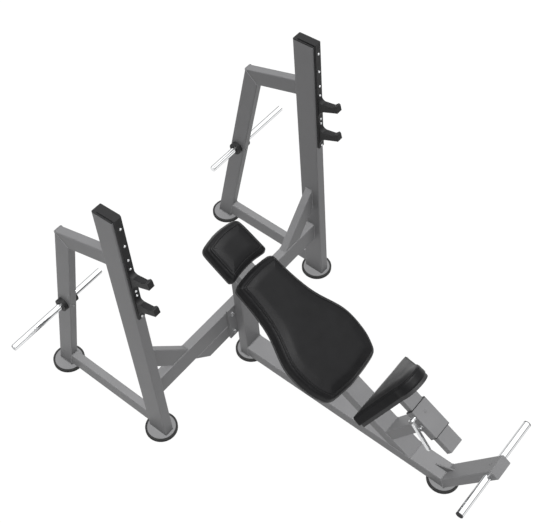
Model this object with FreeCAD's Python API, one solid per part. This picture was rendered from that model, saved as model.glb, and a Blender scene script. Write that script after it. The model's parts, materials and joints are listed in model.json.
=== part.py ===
"""Incline bench press station with a sliding seat, as an assembly of separate pieces.

Millimetres and degrees. +Z is up, -Y is the front, where the foot bar is, and X runs across the station.
The origin is on the floor, at the centre of the foot under the centre post.
The two side frames mirror each other about X = 0, so each is built once on the +X side, the right.
"""
import FreeCAD
import Part
import math
import os

Vector = FreeCAD.Vector
X_AXIS = Vector(1, 0, 0)
Y_AXIS = Vector(0, 1, 0)
Z_AXIS = Vector(0, 0, 1)
BIG = 4000.0                     # side of the blocks that trim tubes to length
TINY = 1e-3                      # tolerance for picking a piece's edges

# Tubes and fits
wall = 3.0                       # every steel tube
corner = 5.0                     # outer corner radius of every steel tube
pin_fit = 0.05                   # radial clearance of a bar, bolt or pin in its hole
slide_fit = 0.3                  # clearance between the seat tube and its bushes
plug_fit = 0.2                   # clearance of a plastic plug in its tube
lid_round = 1 / 3                # share of a plug lid's thickness that its rounded rim takes

# Feet
foot_radius = 73.5
foot_height = 15.0
foot_floor = 6.0                 # rubber under the steel plate
foot_rim = 9.0                   # rubber wall round the steel plate
foot_plate = 7.0                 # thickness of the steel plate
foot_round = 2.0

# Rack: uprights, centre post and crossbar, all leaning back together
frame_spacing = 1150.0           # between the mid-planes of the two side frames
rack_lean = 4.2
upright_width = 48.0
upright_depth = 100.0
upright_length = 1432.0          # from the floor, along the lean, without the cap
upright_setback = 49.0           # upright axis behind the centre post axis
upright_cap = 5.0                # thickness of the cap above the tube
plug_depth = 25.0                # how far a plug reaches into its tube

# Bar guard and its two bar hooks on each upright
guard_width = 35.0
guard_thickness = 11.0
guard_low = 876.0                # along the upright
guard_high = 1431.0
guard_round = 3.0
guard_hood = 6.0                 # thickness of the guard's end over the upright's cap
guard_hood_back = 20.0           # where it stops, in front of the upright's back face
hook_width = 27.0
hook_heights = (978.0, 1138.0)   # lowest point of each saddle, along the upright
hook_root = 20.0                 # fillet between the guard and a saddle
hook_reach = 101.0               # from the guard's face to the nose
hook_saddle = 70.0               # from the guard's face to the foot of the lip
hook_rise = 9.0                  # how far the saddle climbs towards the lip
hook_lip = 26.0                  # lip top above the saddle's lowest point
hook_nose = 9.0                  # nose bottom below the saddle's lowest point
hook_gusset = 76.0               # where the underside meets the guard
hook_lip_foot = 14.0             # from the lip's foot to its rounded top, along the reach
hook_lip_crest = 20.0            # from the lip's foot to its highest point
hook_lip_round = 4.0             # size of the lip's rounded top
hook_nose_round = 6.0
hook_belly = (0.45, 0.66)        # shares of the gusset's height on the underside's curve
guard_screw_heights = (886.0, 1014.0, 1040.0, 1171.0, 1221.0, 1299.0, 1391.0)

# Side frame behind each upright
side_width = 38.0
side_depth = 76.0
rear_lean = 10.7                 # the rear post leans forward
rear_post_y = 634.5              # rear post axis at floor level
rear_post_length = 1118.0        # from the floor to the outer top corner
top_tube_rise = 19.3
side_rail_height = 72.0          # axis of the low rail

# Plate horn through each rear post
horn_radius = 14.0
horn_step = 0.3                  # the part inside the shoulder is this much thinner
horn_shoulder = 1.0              # shoulder outside the outer collar
horn_chamfer = 1.5
horn_height = 584.0              # along the rear post
horn_out = 309.0                 # tip outside the side frame's mid-plane
horn_in = 201.0                  # tip inside it
collar_radius = 30.0
collar_length = 20.0

# Crossbar between the uprights
crossbar_depth = 44.0
crossbar_height = 100.0
crossbar_top = 353.0             # along the lean
stiffener_drop = 75.0            # deeper middle of the crossbar
stiffener_half_top = 312.0
stiffener_half_bottom = 230.0
brace_height = 80.0
brace_depth = 38.0
brace_x = 394.5                  # brace axis at the crossbar's top face
brace_angle = 48.0

# Bolted joint between the centre post and the crossbar
post_width = 96.0
post_depth = 48.0
plate_half_width = 95.0
plate_thickness = 5.0
plate_low = 170.0
plate_high = 370.0
plate_bolt_x = 70.0
plate_bolt_edge = 30.0           # bolt rows from the plates' top and bottom edges

# Base rail and front tube
rail_width = 96.0
rail_height = 58.0
rail_low = 23.0                  # underside above the floor
bend_y = -1087.8                 # where the rail's top meets the front tube
front_rise = 58.6
front_depth = 48.0
front_length = 364.0
front_foot_y = -1077.8
spacer_radius = 22.0
foot_bar_radius = 16.0
foot_bar_half = 260.0            # with its end caps
foot_bar_cap = 3.0
foot_bar_cap_rim = 0.5           # how far a cap stands out round the bar
foot_bar_from_end = 41.0
gusset_leg = 60.0
gusset_thickness = 7.0

# Back beam: its top face starts at this point and climbs towards the back
beam_y = -923.4
beam_z = 83.0
beam_rise = 29.55
beam_width = 96.0
beam_height = 58.0
beam_end = 1205.0
end_cap = 4.0

# Pads and what carries them; places are distances along the beam
pad_gap = 10.0                   # cross flats between the beam and the boards
flat_width = 40.0
flat_half = 95.0
flat_places = (520.0, 900.0, 1170.0)
flat_screw_x = 75.0
board = 15.0
pad_total = 62.0                 # board and cushion together
board_inset = 6.0
# Right half of each pad's outline, as (half width, place), from the middle of its low end to that of its high end
back_half = ((0.0, 403.0), (70.0, 407.0), (128.0, 414.0), (157.0, 422.0), (173.0, 436.0), (187.0, 462.0),
             (201.0, 500.0), (210.0, 550.0), (213.0, 610.0), (207.0, 665.0), (191.0, 715.0), (165.0, 778.0),
             (149.0, 830.0), (140.0, 880.0), (133.0, 940.0), (130.0, 985.0), (128.0, 1028.0), (123.0, 1046.0),
             (110.0, 1056.0), (74.0, 1063.0), (36.0, 1067.0), (0.0, 1068.0))
head_half = ((0.0, 1082.0), (40.0, 1080.0), (75.0, 1075.5), (98.0, 1072.0), (111.0, 1074.0), (119.0, 1083.0),
             (121.0, 1100.0), (120.0, 1140.0), (119.0, 1190.0), (117.0, 1237.0), (112.0, 1257.0),
             (100.0, 1269.0), (71.0, 1277.0), (36.0, 1282.0), (0.0, 1284.0))

# Seat: post, sleeve and sliding tube; places are distances along the beam
seat_post_place = 129.5
seat_post_height = 257.0
sleeve_start = 54.0
sleeve_end = 207.0
sleeve_height = 48.0
bush_lip = 3.0
bush_length = 46.0
sleeve_screw_place = 164.0
seat_tube_width = 80.0
seat_tube_height = 38.0
seat_tube_start = -35.0
seat_plate = 6.0
seat_plate_half_width = 50.0
seat_plate_half_height = 62.0
seat_screw_x = 36.0
seat_screw_z = 46.0
seat_underside = 282.0
seat_total = 60.0                # board and cushion together
seat_drop = 128.0                # lower edge below the tube's axis
seat_low_half = 203.0
seat_neck = 97.0                 # where the nose starts, above the tube's axis
seat_neck_half = 83.0
seat_nose = 170.0
seat_corner = 9.0

# Seat lock: pin, lever and spring on the sleeve's left side
pin_place = 127.0
pin_radius = 6.0
pin_gap = 1.3                    # between the withdrawn pin and the seat tube
pin_head_gap = 0.5               # between the withdrawn pin and the lever
pin_chamfer = 1.0
lock_pitch = 30.0
lock_steps = (-2, -1, 0, 1, 2)
lock_hole_fit = 0.25
boss_radius = 10.0
boss_length = 3.5
lever_gap = 14.0                 # between the sleeve and the lever
lever_thickness = 14.0
lever_depth = 18.0
lever_round = 3.0
lever_hub_radius = 12.0
lever_length = 156.0             # from the pivot to the centre of the rounded tip
lever_drop = 22.0                # how far the lever hangs below the sleeve's direction
pivot_place = 176.0
pivot_above_axis = 9.0
pivot_radius = 5.0
pivot_head_radius = 8.0
pivot_head = 4.0
spring_radius = 8.5
spring_wire = 1.1
spring_turns = 4

# Screws and bolts
screw_radius = 3.0
screw_head_radius = 5.5
screw_head = 3.0
screw_head_round = 1.8
screw_socket_radius = 2.4
screw_socket_depth = 1.5
bolt_radius = 6.0
bolt_head_radius = 11.0
bolt_head = 7.5
pad_screw_depth = 10.0           # how far a pad screw goes into its board

# Worked out from the values above
half_spacing = frame_spacing / 2
foot_top = foot_floor + foot_plate
rail_top = rail_low + rail_height
crossbar_setback = post_depth / 2 + 2 * plate_thickness + crossbar_depth / 2
upright_inner = half_spacing - upright_width / 2
horn_seat = horn_radius - horn_step
guard_face = upright_setback - upright_depth / 2 - guard_thickness
slide_height = seat_post_height + sleeve_height / 2
seat_tube_end = seat_underside - seat_plate
sleeve_inner_width = rail_width - 2 * wall
sleeve_inner_height = sleeve_height - 2 * wall
sleeve_side = rail_width / 2
lever_inner = sleeve_side + lever_gap


def tilted(x, y, z, lean):
    """Placement at a point whose local Z leans back from the vertical by an angle."""
    return FreeCAD.Placement(Vector(x, y, z), FreeCAD.Rotation(X_AXIS, -lean))


RACK = tilted(0, 0, 0, rack_lean)
REAR = tilted(half_spacing, rear_post_y, 0, -rear_lean)
FRONT = tilted(0, bend_y, rail_top, front_rise - 90)
BEAM = tilted(0, beam_y, beam_z, -beam_rise)     # local Y runs along the beam, local Z stands off it


def placed(shape, placement):
    """Copy of a shape moved into a placement."""
    copy = shape.copy()
    copy.Placement = placement.multiply(copy.Placement)
    return copy


def at(shape, x, y, z):
    """Copy of a shape moved by x, y, z."""
    return placed(shape, FreeCAD.Placement(Vector(x, y, z), FreeCAD.Rotation()))


def turned(shape, axis, angle):
    """Copy of a shape turned about an axis through the origin."""
    return placed(shape, FreeCAD.Placement(Vector(), FreeCAD.Rotation(axis, angle)))


def mirrored(shape):
    """The same piece on the other side of the station."""
    return shape.mirror(Vector(), X_AXIS)


def both_sides(shape):
    """A right-hand piece and its mirror image in one node."""
    return group([*shape.Solids, *mirrored(shape).Solids])


def bar(width, depth, start, end, radius):
    """Solid bar along Z, centred on it, with rounded long edges."""
    block = Part.makeBox(width, depth, end - start, Vector(-width / 2, -depth / 2, start))
    upright_edges = [edge for edge in block.Edges if abs(edge.tangentAt(0).z) > 0.99]
    return block.makeFillet(radius, upright_edges)


def tube(width, depth, start, end):
    """Hollow rectangular steel tube along Z, centred on it."""
    inner = bar(width - 2 * wall, depth - 2 * wall, start, end, corner - wall)
    return bar(width, depth, start, end, corner).cut(inner)


def along_y(shape):
    """Turns a piece made along Z so that it runs along +Y."""
    return turned(shape, X_AXIS, -90)


def along_x(shape):
    """Turns a piece made along Z so that it runs along +X."""
    return turned(shape, Y_AXIS, 90)


def rod(radius, start, end):
    """Round bar along Z."""
    return Part.makeCylinder(radius, end - start, Vector(0, 0, start))


def ring(outer, inner, start, end):
    """Round collar along Z."""
    return rod(outer, start, end).cut(rod(inner, start, end))


def trim(shape, point, normal):
    """Cuts away what lies beyond a plane, on the side that its normal points to."""
    block = Part.makeBox(BIG, BIG, BIG, Vector(-BIG / 2, -BIG / 2, 0))
    block.Placement = FreeCAD.Placement(point, FreeCAD.Rotation(Z_AXIS, normal))
    return shape.cut(block)


def spot(frame, x, y, z):
    """World position of a local point."""
    return frame.multVec(Vector(x, y, z))


def heading(frame, direction):
    """World direction of a local one."""
    return frame.Rotation.multVec(direction)


def group(solids):
    """Several separate solids in one node."""
    return Part.makeCompound(solids)


def prism(points, thickness):
    """Straight-edged outline in the YZ plane, given as (y, z), made thickness wide about X = 0."""
    corners = [Vector(-thickness / 2, y, z) for y, z in points]
    return Part.Face(Part.makePolygon(corners + corners[:1])).extrude(X_AXIS * thickness)


def plug(width, depth, thickness, reach=plug_depth):
    """Plastic end plug: a lid from Z = 0 outwards and a shank into the tube behind it."""
    lid = bar(width, depth, 0, thickness, corner)
    top = [edge for edge in lid.Edges if abs(edge.BoundBox.ZMin - thickness) < TINY]
    lid = lid.makeFillet(thickness * lid_round, top)
    inner_width = width - 2 * (wall + plug_fit)
    inner_depth = depth - 2 * (wall + plug_fit)
    return lid.fuse(bar(inner_width, inner_depth, -reach, 0, corner - wall))


def screw(length):
    """Pan-head screw: its head stands up from Z = 0 and its shank goes down."""
    head = rod(screw_head_radius, 0, screw_head)
    rim = [edge for edge in head.Edges if abs(edge.BoundBox.ZMin - screw_head) < TINY]
    head = head.makeFillet(screw_head_round, rim)
    socket = rod(screw_socket_radius, screw_head - screw_socket_depth, screw_head)
    return head.cut(socket).fuse(rod(screw_radius, -length, 0))


def bolt(length):
    """Hexagon bolt: its head stands up from Z = 0 and its shank goes down."""
    corners = [Vector(bolt_head_radius * math.cos(math.radians(60 * k)),
                      bolt_head_radius * math.sin(math.radians(60 * k)), 0) for k in range(7)]
    head = Part.Face(Part.makePolygon(corners)).extrude(Z_AXIS * bolt_head)
    return head.fuse(rod(bolt_radius, -length, 0))


def hole(radius, length):
    """Cutter for a screw hole through Z = 0."""
    return rod(radius + pin_fit, -length, length)


def inner_corner(outer, first, first_depth, second, second_depth):
    """Where the inner faces of two tubes meet, from their outer corner and the faces' inward normals."""
    cosine = first.dot(second)
    share = 1 - cosine * cosine
    along_first = (first_depth - cosine * second_depth) / share
    along_second = (second_depth - cosine * first_depth) / share
    return outer + first * along_first + second * along_second


def mitre(shape, outer, inner, along):
    """Trims a tube at the plane through both corners of a bend, beyond which the tube would run."""
    normal = (inner - outer).cross(X_AXIS).normalize()
    if normal.dot(along) < 0:
        normal = normal * -1
    return trim(shape, outer, normal)


def on_floor(frame, x, y):
    """Where a local Z line meets the tops of the foot plates."""
    start = spot(frame, x, y, 0)
    rising = heading(frame, Z_AXIS)
    return start + rising * ((foot_top - start.z) / rising.z)


def standing(shape):
    """Cuts a leg off where it meets its foot plate."""
    return trim(shape, Vector(0, 0, foot_top), Z_AXIS * -1)


# Feet

def foot_places():
    """Centre of each foot on the floor, by name."""
    upright = on_floor(RACK, half_spacing, upright_setback)
    rear = on_floor(REAR, 0, 0)
    return {
        "right_rack": [(upright.x, upright.y), (rear.x, rear.y)],
        "left_rack": [(-upright.x, upright.y), (-rear.x, rear.y)],
        "bench": [(0, 0), (0, front_foot_y)],
    }


def rubber_foot():
    """Rubber boot, open at the top, that holds a steel plate."""
    boot = rod(foot_radius, 0, foot_height)
    boot = boot.cut(rod(foot_radius - foot_rim, foot_floor, foot_height))
    rim = [edge for edge in boot.Edges
           if abs(edge.BoundBox.ZMin - foot_height) < TINY and edge.BoundBox.XMax > foot_radius - 1]
    return boot.makeFillet(foot_round, rim)


def feet():
    pieces = {}
    plates = []
    disc = rod(foot_radius - foot_rim - plug_fit, foot_floor, foot_top)
    for name, places in foot_places().items():
        pieces[name + "_rubber_feet"] = group([at(rubber_foot(), x, y, 0) for x, y in places])
        plates += [at(disc, x, y, 0) for x, y in places]
    pieces["foot_plates"] = group(plates)
    pieces["front_foot_spacer"] = at(rod(spacer_radius, foot_top, rail_low), 0, front_foot_y, 0)
    return pieces


# Uprights with their guards

def guard_screw_line(shape):
    """Copies of a piece at the guard screws, its Z pointing forward out of the guard's face."""
    forward = turned(shape, X_AXIS, 90)
    return [at(forward, 0, guard_face, height) for height in guard_screw_heights]


def upright():
    leg = at(tube(upright_width, upright_depth, -corner, upright_length), 0, upright_setback, 0)
    for cutter in guard_screw_line(hole(screw_radius, guard_thickness + 2 * wall)):
        leg = leg.cut(cutter)
    return standing(placed(at(leg, half_spacing, 0, 0), RACK))


def upright_top_cap():
    cap = plug(upright_width, upright_depth, upright_cap)
    return placed(at(cap, half_spacing, upright_setback, upright_length), RACK)


def hook_outline():
    """Side outline of a bar hook, as (reach from the guard's face, height above the saddle)."""
    saddle_start = (hook_root, hook_rise / 10)
    lip_foot = (hook_saddle, hook_rise)
    lip_start = (hook_saddle + hook_lip_foot, hook_lip - hook_lip_round)
    lip_top = (hook_saddle + hook_lip_crest, hook_lip)
    lip_end = (hook_reach - hook_lip_round, hook_lip - 1.5 * hook_lip_round)
    nose_top = (hook_reach, 0)
    nose_mid = (hook_reach - hook_nose_round / 6, hook_nose_round / 3 - hook_nose)
    nose_end = (hook_reach - hook_nose_round, -hook_nose)
    under = (hook_saddle / 2, -hook_gusset * hook_belly[0])
    under_mid = (hook_saddle / 6, -hook_gusset * hook_belly[1])
    return [
        ("arc", (0, hook_root), (hook_root / 3, hook_root / 3), saddle_start),
        ("line", saddle_start, lip_foot),
        ("line", lip_foot, lip_start),
        ("arc", lip_start, lip_top, lip_end),
        ("line", lip_end, nose_top),
        ("arc", nose_top, nose_mid, nose_end),
        ("line", nose_end, under),
        ("arc", under, under_mid, (0, -hook_gusset)),
        ("line", (0, -hook_gusset), (0, hook_root)),
    ]


def bar_hook(height):
    """One hook, standing forward of the guard's face."""
    edges = []
    for kind, *points in hook_outline():
        spots = [Vector(-hook_width / 2, guard_face - reach, height + rise) for reach, rise in points]
        curve = Part.Arc(*spots) if kind == "arc" else Part.LineSegment(*spots)
        edges.append(curve.toShape())
    return Part.Face(Part.Wire(edges)).extrude(X_AXIS * hook_width)


def guard_top():
    """End of the guard that turns back over the upright's cap."""
    low = upright_length + upright_cap
    depth = guard_thickness + upright_depth - guard_hood_back
    middle = guard_face + depth / 2
    lid = at(bar(guard_width, depth, low, low + guard_hood, guard_round), 0, middle, 0)
    front = at(bar(guard_width, guard_thickness, guard_high - corner, low + guard_hood, guard_round), 0,
               guard_face + guard_thickness / 2, 0)
    return lid.fuse(front)


def bar_guard():
    strip = bar(guard_width, guard_thickness, guard_low, guard_high, guard_round)
    shape = at(strip, 0, guard_face + guard_thickness / 2, 0).fuse(guard_top())
    for cutter in guard_screw_line(hole(screw_radius, 2 * guard_thickness)):
        shape = shape.cut(cutter)
    for cutter in guard_screw_line(rod(screw_head_radius + pin_fit, 0, guard_thickness)):
        shape = shape.cut(cutter)
    return placed(at(shape.removeSplitter(), half_spacing, 0, 0), RACK)


def bar_hooks():
    """The upper and lower hook, bonded to the guard's face."""
    hooks = group([bar_hook(height) for height in hook_heights])
    return placed(at(hooks, half_spacing, 0, 0), RACK)


def guard_screws():
    line = group(guard_screw_line(screw(guard_thickness + wall)))
    return placed(at(line, half_spacing, 0, 0), RACK)


# Side frames

def rear_corner():
    """Outer top corner of the rear post."""
    return spot(REAR, 0, side_depth / 2, rear_post_length)


def top_frame():
    """The top tube runs forward and up from the rear post's corner; its upper face is at local Y = 0."""
    outer = rear_corner()
    return tilted(outer.x, outer.y, outer.z, top_tube_rise - 90)


def side_bend():
    """Outer and inner corner of the bend between the rear post and the top tube."""
    outer = rear_corner()
    post_inward = heading(REAR, Y_AXIS) * -1
    top_inward = heading(top_frame(), Y_AXIS) * -1
    return outer, inner_corner(outer, post_inward, side_depth, top_inward, side_depth)


def rear_post():
    post = tube(side_width, side_depth, -corner, rear_post_length + side_depth)
    bore = at(along_x(rod(horn_seat + pin_fit, -side_width, side_width)), 0, 0, horn_height)
    screw_hole = turned(rod(screw_radius + pin_fit, 0, side_depth), X_AXIS, 90)
    post = post.cut(bore).cut(at(screw_hole, 0, 0, horn_height))
    post = standing(placed(post, REAR))
    return mitre(post, *side_bend(), heading(REAR, Z_AXIS))


def behind_upright(shape):
    """Trims a rear tube at the upright's back face."""
    point = spot(RACK, 0, upright_setback + upright_depth / 2, 0)
    return trim(shape, point, heading(RACK, Y_AXIS) * -1)


def top_tube():
    frame = top_frame()
    shape = at(tube(side_width, side_depth, -side_depth, side_depth + rear_post_y), 0, -side_depth / 2, 0)
    shape = behind_upright(placed(shape, frame))
    return mitre(shape, *side_bend(), heading(frame, Z_AXIS) * -1)


def side_rail():
    rail = along_y(tube(side_width, side_depth, 0, rear_post_y + side_depth))
    rail = behind_upright(at(rail, half_spacing, 0, side_rail_height))
    return trim(rail, spot(REAR, 0, -side_depth / 2, 0), heading(REAR, Y_AXIS))


def plate_horn():
    """Bar pushed in from outside, with a shoulder that stops short of the outer collar."""
    shoulder = side_width / 2 + collar_length + horn_shoulder
    thick = rod(horn_radius, shoulder, horn_out)
    thick = thick.makeChamfer(horn_chamfer, [e for e in thick.Edges if abs(e.BoundBox.ZMin - horn_out) < TINY])
    thin = rod(horn_seat, -horn_in, shoulder)
    thin = thin.makeChamfer(horn_chamfer, [e for e in thin.Edges if abs(e.BoundBox.ZMax + horn_in) < TINY])
    return placed(at(along_x(thick.fuse(thin)), 0, 0, horn_height), REAR)


def horn_collars():
    """Two clamping collars, one each side of the rear post."""
    near = side_width / 2
    outer = along_x(ring(collar_radius, horn_seat + pin_fit, near, near + collar_length))
    inner = along_x(ring(collar_radius, horn_seat + pin_fit, -near - collar_length, -near))
    return placed(at(group([outer, inner]), 0, 0, horn_height), REAR)


def horn_screw():
    """Set screw through the rear post's front face against the horn."""
    piece = turned(screw(side_depth / 2 - horn_seat), X_AXIS, 90)
    return placed(at(piece, 0, -side_depth / 2, horn_height), REAR)


# Crossbar, braces and the bolted joint

def crossbar():
    beam = along_x(tube(crossbar_height, crossbar_depth, -upright_inner, upright_inner))
    return placed(at(beam, 0, crossbar_setback, crossbar_top - crossbar_height / 2), RACK)


def stiffener_block(inset):
    """Trapezium under the middle of the crossbar, smaller all round by an inset but for its top."""
    top = crossbar_top - crossbar_height
    slope = (stiffener_half_top - stiffener_half_bottom) / stiffener_drop
    side = inset * math.hypot(1, slope)
    low = top - stiffener_drop + inset
    half_top = stiffener_half_top - side
    half_low = stiffener_half_bottom + slope * inset - side
    front = crossbar_setback - crossbar_depth / 2 + inset
    corners = [Vector(-half_top, front, top), Vector(half_top, front, top),
               Vector(half_low, front, low), Vector(-half_low, front, low)]
    face = Part.Face(Part.makePolygon(corners + corners[:1]))
    return face.extrude(Y_AXIS * (crossbar_depth - 2 * inset))


def crossbar_stiffener():
    return placed(stiffener_block(0).cut(stiffener_block(wall)), RACK)


def brace():
    piece = turned(tube(brace_height, brace_depth, -frame_spacing / 2, frame_spacing), Y_AXIS, 90 - brace_angle)
    piece = at(piece, brace_x, crossbar_setback, crossbar_top)
    piece = trim(piece, Vector(0, 0, crossbar_top), Z_AXIS * -1)
    return placed(trim(piece, Vector(upright_inner, 0, 0), X_AXIS), RACK)


def plate_bolt_places(shape):
    """Copies of a piece at the four bolts, its Z pointing forward out of the front plate."""
    forward = turned(shape, X_AXIS, 90)
    rows = (plate_low + plate_bolt_edge, plate_high - plate_bolt_edge - bolt_head_radius)
    return [at(forward, x, post_depth / 2, z) for x in (-plate_bolt_x, plate_bolt_x) for z in rows]


def joint_plate(layer):
    """One of the two plates between the centre post and the crossbar, counted from the front."""
    front = post_depth / 2 + layer * plate_thickness
    height = plate_high - plate_low
    plate = Part.makeBox(2 * plate_half_width, plate_thickness, height, Vector(-plate_half_width, front, plate_low))
    for cutter in plate_bolt_places(hole(bolt_radius, 3 * plate_thickness)):
        plate = plate.cut(cutter)
    return placed(plate, RACK)


def plate_bolts():
    return placed(group(plate_bolt_places(bolt(2 * plate_thickness))), RACK)


# Centre post, base rail, front tube and foot bar

def centre_post():
    post = standing(placed(tube(post_width, post_depth, -corner, beam_end), RACK))
    return trim(post, spot(BEAM, 0, 0, -beam_height), heading(BEAM, Z_AXIS))


def front_bend():
    """Upper and lower corner of the bend between the base rail and the front tube."""
    upper = Vector(0, bend_y, rail_top)
    front_inward = heading(FRONT, Y_AXIS) * -1
    return upper, inner_corner(upper, Z_AXIS * -1, rail_height, front_inward, front_depth)


def base_rail():
    rail = along_y(tube(rail_width, rail_height, bend_y - rail_height, post_depth))
    rail = at(rail, 0, 0, rail_low + rail_height / 2)
    rail = trim(rail, spot(RACK, 0, -post_depth / 2, 0), heading(RACK, Y_AXIS))
    return mitre(rail, *front_bend(), Y_AXIS * -1)


def front_tube():
    piece = at(tube(rail_width, front_depth, -rail_height, front_length), 0, -front_depth / 2, 0)
    bore = at(along_x(rod(foot_bar_radius + pin_fit, -rail_width, rail_width)), 0, -front_depth / 2,
              front_length - foot_bar_from_end)
    piece = piece.cut(bore).cut(foot_bar_screw_line(rod(screw_radius + pin_fit, -front_depth / 2, 0)))
    return mitre(placed(piece, FRONT), *front_bend(), heading(FRONT, Z_AXIS) * -1)


def foot_bar_screw_line(shape):
    """A piece on the front tube's upper face over the foot bar, its Z pointing out of that face."""
    return at(turned(shape, X_AXIS, -90), 0, 0, front_length - foot_bar_from_end)


def foot_bar_screw():
    return placed(foot_bar_screw_line(screw(front_depth / 2 - foot_bar_radius)), FRONT)


def front_tube_cap():
    """End plug whose shank stops short of the foot bar."""
    short = foot_bar_from_end - foot_bar_radius - corner - 2 * plug_fit
    cap = plug(rail_width, front_depth, end_cap, short)
    return placed(at(cap, 0, -front_depth / 2, front_length), FRONT)


def gusset():
    """Triangular rib in the corner between the base rail and the front tube."""
    leg = heading(FRONT, Z_AXIS) * gusset_leg
    points = [(bend_y, rail_top), (bend_y + gusset_leg, rail_top), (bend_y + leg.y, rail_top + leg.z)]
    return prism(points, gusset_thickness)


def foot_bar():
    half = foot_bar_half - foot_bar_cap
    return placed(at(along_x(rod(foot_bar_radius, -half, half)), 0, -front_depth / 2,
                     front_length - foot_bar_from_end), FRONT)


def foot_bar_caps():
    half = foot_bar_half - foot_bar_cap
    caps = []
    for start, end in ((half, foot_bar_half), (-foot_bar_half, -half)):
        caps.append(along_x(rod(foot_bar_radius + foot_bar_cap_rim, start, end)))
    return placed(at(group(caps), 0, -front_depth / 2, front_length - foot_bar_from_end), FRONT)


# Back beam and the fixed pads

def back_beam():
    beam = at(along_y(tube(beam_width, beam_height, -2 * beam_height, beam_end)), 0, 0, -beam_height / 2)
    return trim(placed(beam, BEAM), Vector(0, 0, rail_top), Z_AXIS * -1)


def beam_end_cap():
    cap = along_y(plug(beam_width, beam_height, end_cap))
    return placed(at(cap, 0, beam_end, -beam_height / 2), BEAM)


def flat_screw_places(shape):
    """Copies of a piece under the cross flats, its Z pointing down out of the flat."""
    down = turned(shape, X_AXIS, 180)
    return [at(down, x, place, 0) for place in flat_places for x in (-flat_screw_x, flat_screw_x)]


def cross_flats():
    flats = []
    for place in flat_places:
        flat = Part.makeBox(2 * flat_half, flat_width, pad_gap, Vector(-flat_half, place - flat_width / 2, 0))
        for cutter in flat_screw_places(hole(screw_radius, 2 * pad_gap)):
            flat = flat.cut(cutter)
        flats.append(flat)
    return placed(group(flats), BEAM)


def pad_screws():
    return placed(group(flat_screw_places(screw(pad_gap + pad_screw_depth))), BEAM)


def pad_outline(half, inset):
    """Smooth face through a pad's half outline and its mirror image, moved in by an inset."""
    right = [Vector(x, y, 0) for x, y in half]
    loop = right + [Vector(-spot.x, spot.y, 0) for spot in right[-2:0:-1]]
    moved = []
    for number, middle in enumerate(loop):
        ahead = loop[(number + 1) % len(loop)] - loop[number - 1]
        moved.append(middle + Z_AXIS.cross(ahead).normalize() * inset)
    curve = Part.BSplineCurve()
    curve.interpolate(moved, PeriodicFlag=True)
    return Part.Face(Part.Wire(curve.toShape()))


def layer(outline, start, end):
    """A board or cushion above the beam between two heights."""
    shape = outline.copy()
    shape.translate(Vector(0, 0, start))
    return placed(shape.extrude(Z_AXIS * (end - start)), BEAM)


def drilled_board(outline):
    """Plywood board with holes for the screws from the cross flats."""
    shape = layer(outline, pad_gap, pad_gap + board)
    for cutter in flat_screw_places(rod(screw_radius + pin_fit, -pad_gap - pad_screw_depth, 0)):
        shape = shape.cut(placed(cutter, BEAM))
    return shape


# Seat

def seat_post():
    return placed(at(tube(rail_width, post_depth, 0, seat_post_height), 0, seat_post_place, 0), BEAM)


def on_slide(shape):
    """Places a piece made along Z about the seat tube's axis, with Z becoming the way up the beam."""
    return placed(at(along_y(shape), 0, 0, slide_height), BEAM)


def seat_sleeve():
    body = tube(rail_width, sleeve_height, sleeve_start + bush_lip, sleeve_end - bush_lip)
    boss = at(along_x(rod(boss_radius, -sleeve_side - boss_length, -sleeve_side)), 0, 0, pin_place)
    bore = at(along_x(rod(pin_radius + pin_fit, -sleeve_side - boss_length, 0)), 0, 0, pin_place)
    pivot_hole = at(along_x(rod(pivot_radius + pin_fit, -sleeve_side - 1, 0)), 0, -pivot_above_axis, pivot_place)
    screw_hole = at(turned(rod(screw_radius + pin_fit, 0, sleeve_height), X_AXIS, 90), 0, 0, sleeve_screw_place)
    return on_slide(body.fuse(boss).cut(bore).cut(pivot_hole).cut(screw_hole))


def bush(lip_start, body_start):
    """Plastic bush: a lip outside the sleeve and a body inside it."""
    lip = bar(rail_width, sleeve_height, lip_start, lip_start + bush_lip, corner)
    body = bar(sleeve_inner_width, sleeve_inner_height, body_start, body_start + bush_length, corner - wall)
    opening = bar(seat_tube_width + 2 * slide_fit, seat_tube_height + 2 * slide_fit,
                  lip_start - bush_length, body_start + 2 * bush_length, corner + slide_fit)
    return lip.fuse(body).cut(opening)


def seat_bushes():
    front = bush(sleeve_start, sleeve_start + bush_lip)
    rear_body = sleeve_end - bush_lip - bush_length
    rear = bush(sleeve_end - bush_lip, rear_body)
    thread = turned(rod(screw_radius + pin_fit, 0, sleeve_height), X_AXIS, 90)
    pivot_room = along_x(rod(pivot_radius + slide_fit, -sleeve_side, 0))
    rear = rear.cut(at(thread, 0, 0, sleeve_screw_place))
    rear = rear.cut(at(pivot_room, 0, -pivot_above_axis, pivot_place))
    return on_slide(group([front, rear]))


def sleeve_screw():
    """Screw that holds the rear bush, ending flush with the bush's inner face."""
    length = sleeve_height / 2 - seat_tube_height / 2 - slide_fit
    piece = turned(screw(length), X_AXIS, 90)
    return on_slide(at(piece, 0, -sleeve_height / 2, sleeve_screw_place))


def seat_tube():
    body = tube(seat_tube_width, seat_tube_height, seat_tube_start + end_cap, seat_tube_end)
    for step in lock_steps:
        lock_hole = along_x(rod(pin_radius + lock_hole_fit, -seat_tube_width, 0))
        body = body.cut(at(lock_hole, 0, 0, pin_place + step * lock_pitch))
    return on_slide(body)


def seat_tube_cap():
    cap = turned(plug(seat_tube_width, seat_tube_height, end_cap), X_AXIS, 180)
    return on_slide(at(cap, 0, 0, seat_tube_start + end_cap))


def seat_screw_places(shape):
    """Copies of a piece on the seat plate's underside, its Z pointing down the beam."""
    down = turned(shape, X_AXIS, 180)
    return [at(down, x, z, seat_tube_end) for x in (-seat_screw_x, seat_screw_x) for z in (-seat_screw_z, seat_screw_z)]


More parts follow.
